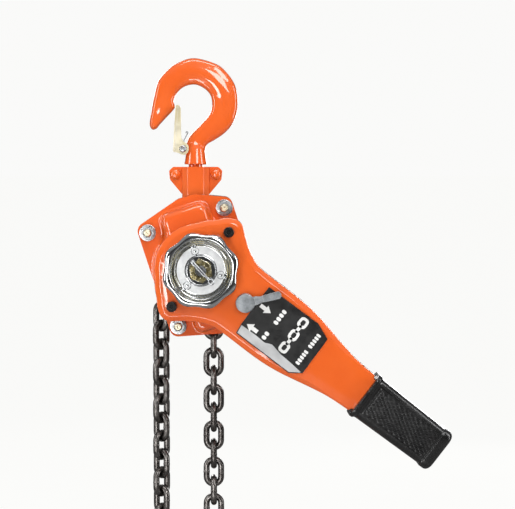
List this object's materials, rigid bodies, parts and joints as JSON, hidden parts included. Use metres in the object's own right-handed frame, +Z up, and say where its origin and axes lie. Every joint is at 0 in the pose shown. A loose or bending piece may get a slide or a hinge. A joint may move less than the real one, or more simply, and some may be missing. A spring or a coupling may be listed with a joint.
{
  "type": "lever chain hoist",
  "caption": "Lever hoist: pressed casing on a geared chain wheel, ratchet lever with rubber grip, hand wheel, swivel hooks on a link chain with an end ring.",
  "frame": {"origin": "the top hook at the height of its saddle, on the axis of its shank", "axes": "+Z up along the hook shank, +X to the right seen from the hand wheel, -Y towards the hand wheel, the chain hanging in the plane Y = 0"},
  "size_m": [0.3527, 0.169, 0.727],
  "materials": {
    "orange_paint": "gloss",
    "zinc": "zinc plated",
    "steel": "machined",
    "chrome": "polished",
    "chain_steel": "dark heat-treated",
    "rubber": "matt moulded",
    "black_steel": "black oxide",
    "brass_zinc": "yellow zinc plated",
    "lining": "friction lining",
    "label": "printed label"
  },
  "bodies": {
    "top_hook": {"top_hook": "orange_paint", "top_latch_pin": "zinc", "top_latch_spring": "steel"},
    "top_latch": {"top_latch": "zinc"},
    "top_yoke": {"top_yoke_front": "orange_paint", "top_yoke_rear": "orange_paint", "top_yoke_rivet_left": "orange_paint", "top_yoke_rivet_right": "orange_paint", "top_yoke_pin": "steel"},
    "frame": {"front_side_plate": "steel", "rear_side_plate": "steel", "brake_cover": "orange_paint", "gear_cover": "orange_paint", "stay_bolt_1": "zinc", "stay_bolt_2": "zinc", "stay_bolt_3": "zinc", "stay_bolt_4": "zinc", "stay_nut_1": "zinc", "stay_nut_2": "zinc", "stay_nut_3": "zinc", "stay_nut_4": "zinc", "chain_guide": "steel", "chain_stripper": "steel", "sheave_bearing_front": "zinc", "sheave_bearing_rear": "zinc"},
    "brake_pawl_upper": {"brake_pawl_upper": "steel"},
    "brake_pawl_lower": {"brake_pawl_lower": "steel"},
    "sheave": {"load_sheave": "steel", "load_gear": "steel", "wrapped_chain": "chain_steel"},
    "idler_upper": {"idler_gear_upper": "steel"},
    "idler_lower": {"idler_gear_lower": "steel"},
    "drive": {"pinion_shaft": "steel", "brake_hub": "steel", "friction_disc_inner": "lining", "friction_disc_outer": "lining", "change_gear": "steel", "hand_wheel": "chrome", "castle_nut": "brass_zinc", "cotter_pin": "zinc"},
    "ratchet": {"ratchet_disc": "steel"},
    "lever": {"lever_front_shell": "orange_paint", "lever_rear_shell": "orange_paint", "casing_screw_upper": "black_steel", "casing_screw_lower": "black_steel", "lever_grip": "rubber", "label_plate": "label"},
    "mode_lever": {"mode_lever": "zinc"},
    "mode_pawl": {"mode_pawl": "steel"},
    "load_chain_upper": {"load_chain_upper": "chain_steel"},
    "load_chain_lower": {"load_chain_lower": "chain_steel"},
    "load_yoke": {"load_yoke_front": "orange_paint", "load_yoke_rear": "orange_paint", "load_yoke_pin": "steel"},
    "load_hook": {"load_hook": "orange_paint", "load_latch_pin": "zinc"},
    "load_latch": {"load_latch": "zinc"},
    "slack_chain": {"slack_chain": "chain_steel"},
    "end_ring": {"end_ring": "zinc"}
  },
  "joints": [
    {"name": "top_hook_swivel", "type": "hinge", "parent": "top_hook", "child": "top_yoke", "pos_m": [0, 0, -0.1], "axis": [0, 0, 1], "continuous": true},
    {"name": "top_latch_hinge", "type": "hinge", "parent": "top_hook", "child": "top_latch", "pos_m": [-0.0143, 0, -0.0723], "axis": [0, -1, 0], "range_deg": [-34, 0], "stiffness_Nm_per_rad": 0.04, "springref_deg": 20.05},
    {"name": "frame_swing", "type": "hinge", "parent": "top_yoke", "child": "frame", "pos_m": [0, 0, -0.14], "axis": [0, -1, 0], "range_deg": [-24, 8]},
    {"name": "lever_turn", "type": "hinge", "parent": "frame", "child": "lever", "pos_m": [0.0062, 0, -0.2046], "axis": [0, -1, 0], "continuous": true},
    {"name": "mode_lever_turn", "type": "hinge", "parent": "lever", "child": "mode_lever", "pos_m": [0.05435, 0, -0.24042], "axis": [0, -1, 0], "range_deg": [-102, 0]},
    {"name": "mode_pawl_tilt", "type": "hinge", "parent": "lever", "child": "mode_pawl", "pos_m": [0.05435, 0, -0.24042], "axis": [0, -1, 0], "range_deg": [-25.5, 0]},
    {"name": "load_chain_slide", "type": "slide", "parent": "frame", "child": "load_chain_upper", "axis": [0, 0, 1], "range_m": [-0.042, 0]},
    {"name": "slack_chain_slide", "type": "slide", "parent": "frame", "child": "slack_chain", "axis": [0, 0, 1], "range_m": [0, 0.042]},
    {"name": "sheave_turn", "type": "hinge", "parent": "frame", "child": "sheave", "pos_m": [0.0062, 0, -0.2046], "axis": [0, -1, 0], "range_deg": [-87, 0]},
    {"name": "drive_turn", "type": "hinge", "parent": "frame", "child": "drive", "pos_m": [0.0062, 0, -0.2046], "axis": [0, -1, 0], "range_deg": [-782, 0]},
    {"name": "idler_upper_turn", "type": "hinge", "parent": "frame", "child": "idler_upper", "pos_m": [-0.00492, 0, -0.17036], "axis": [0, -1, 0], "range_deg": [0, 261]},
    {"name": "idler_lower_turn", "type": "hinge", "parent": "frame", "child": "idler_lower", "pos_m": [0.01732, 0, -0.23884], "axis": [0, -1, 0], "range_deg": [0, 261]},
    {"name": "ratchet_turn", "type": "hinge", "parent": "frame", "child": "ratchet", "pos_m": [0.0062, 0, -0.2046], "axis": [0, -1, 0], "continuous": true},
    {"name": "brake_pawl_upper_hinge", "type": "hinge", "parent": "frame", "child": "brake_pawl_upper", "pos_m": [0.00597, 0, -0.1521], "axis": [0, -1, 0], "range_deg": [-6, 6], "stiffness_Nm_per_rad": 0.05},
    {"name": "brake_pawl_lower_hinge", "type": "hinge", "parent": "frame", "child": "brake_pawl_lower", "pos_m": [0.00643, 0, -0.2571], "axis": [0, -1, 0], "range_deg": [-6, 6], "stiffness_Nm_per_rad": 0.05},
    {"name": "load_chain_swing", "type": "hinge", "parent": "load_chain_upper", "child": "load_chain_lower", "pos_m": [0.02, 0, -0.3284], "axis": [1, 0, 0], "range_deg": [-5, 20]},
    {"name": "load_yoke_swing", "type": "hinge", "parent": "load_chain_lower", "child": "load_yoke", "pos_m": [0.02, 0, -0.5302], "axis": [0, -1, 0], "range_deg": [-35, 35]},
    {"name": "load_hook_swivel", "type": "hinge", "parent": "load_yoke", "child": "load_hook", "pos_m": [0.02, 0, -0.6], "axis": [0, 0, 1], "continuous": true},
    {"name": "load_latch_hinge", "type": "hinge", "parent": "load_hook", "child": "load_latch", "pos_m": [0.0343, 0, -0.5953], "axis": [0, -1, 0], "range_deg": [-34, 0], "stiffness_Nm_per_rad": 0.04, "springref_deg": 20.05},
    {"name": "end_ring_swing", "type": "hinge", "parent": "slack_chain", "child": "end_ring", "pos_m": [-0.0395, 0, -0.50705], "axis": [-0.7071, 0.7071, 0], "range_deg": [-25, 25]}
  ],
  "couplings": [
    {"joint": "slack_chain_slide", "follows": "load_chain_slide", "ratio": -1},
    {"joint": "sheave_turn", "follows": "load_chain_slide", "rad_per_m": 36.094},
    {"joint": "drive_turn", "follows": "load_chain_slide", "rad_per_m": 324.84},
    {"joint": "idler_upper_turn", "follows": "load_chain_slide", "rad_per_m": -108.28},
    {"joint": "idler_lower_turn", "follows": "load_chain_slide", "rad_per_m": -108.28},
    {"joint": "mode_pawl_tilt", "follows": "mode_lever_turn", "ratio": 0.25}
  ]
}
